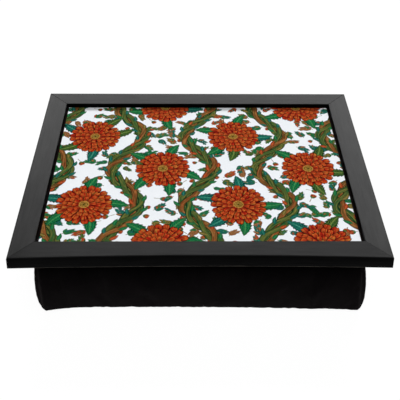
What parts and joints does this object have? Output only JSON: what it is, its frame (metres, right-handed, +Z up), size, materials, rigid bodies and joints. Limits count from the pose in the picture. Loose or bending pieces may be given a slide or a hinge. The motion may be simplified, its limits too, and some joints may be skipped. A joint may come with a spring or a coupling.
{
  "type": "breakfast tray",
  "caption": "Lap tray for meals in bed: a mitred black frame round a printed board, which lifts off a soft bead-filled cushion held on by hook and loop strips.",
  "frame": {"origin": "on the ground, under the middle of the tray", "axes": "+X to the tray's right, along its longer side; +Z up; the front rail, which faces the person, is towards -Y"},
  "size_m": [0.442, 0.342, 0.107],
  "materials": {
    "black_foil": "satin black foil on a wooden moulding",
    "printed_white": "printed laminate, satin",
    "fibreboard": "raw fibreboard",
    "plain_backing": "matte backing paper",
    "spring_steel": "plain rolled steel",
    "hook_tape": "woven nylon hook tape",
    "loop_tape": "brushed nylon loop tape",
    "velvet": "black velvet",
    "foam_beads": "loose foam beads"
  },
  "bodies": {
    "cushion": {"cover_top": "velvet", "cover_front": "velvet", "cover_back": "velvet", "cover_left": "velvet", "cover_right": "velvet", "cover_base": "velvet", "bead_filling": "foam_beads", "loop_strip_front_left": "loop_tape", "loop_strip_front_right": "loop_tape", "loop_strip_back_left": "loop_tape", "loop_strip_back_right": "loop_tape"},
    "tray": {"rail_front": "black_foil", "rail_back": "black_foil", "rail_left": "black_foil", "rail_right": "black_foil", "corner_nail_front_outer": "spring_steel", "corner_nail_front_inner": "spring_steel", "corner_nail_right_outer": "spring_steel", "corner_nail_right_inner": "spring_steel", "corner_nail_back_outer": "spring_steel", "corner_nail_back_inner": "spring_steel", "corner_nail_left_outer": "spring_steel", "corner_nail_left_inner": "spring_steel", "framers_point_front_1": "spring_steel", "framers_point_front_2": "spring_steel", "framers_point_front_3": "spring_steel", "framers_point_front_4": "spring_steel", "framers_point_back_1": "spring_steel", "framers_point_back_2": "spring_steel", "framers_point_back_3": "spring_steel", "framers_point_back_4": "spring_steel", "framers_point_left_1": "spring_steel", "framers_point_left_2": "spring_steel", "framers_point_right_1": "spring_steel", "framers_point_right_2": "spring_steel", "printed_laminate": "printed_white", "tray_board": "fibreboard", "backing_sheet": "plain_backing", "hook_strip_front_left": "hook_tape", "hook_strip_front_right": "hook_tape", "hook_strip_back_left": "hook_tape", "hook_strip_back_right": "hook_tape"}
  },
  "joints": [
    {"name": "tray_lift_off", "type": "slide", "parent": "cushion", "child": "tray", "axis": [0, 0, 1], "range_m": [0, 0.08]}
  ]
}
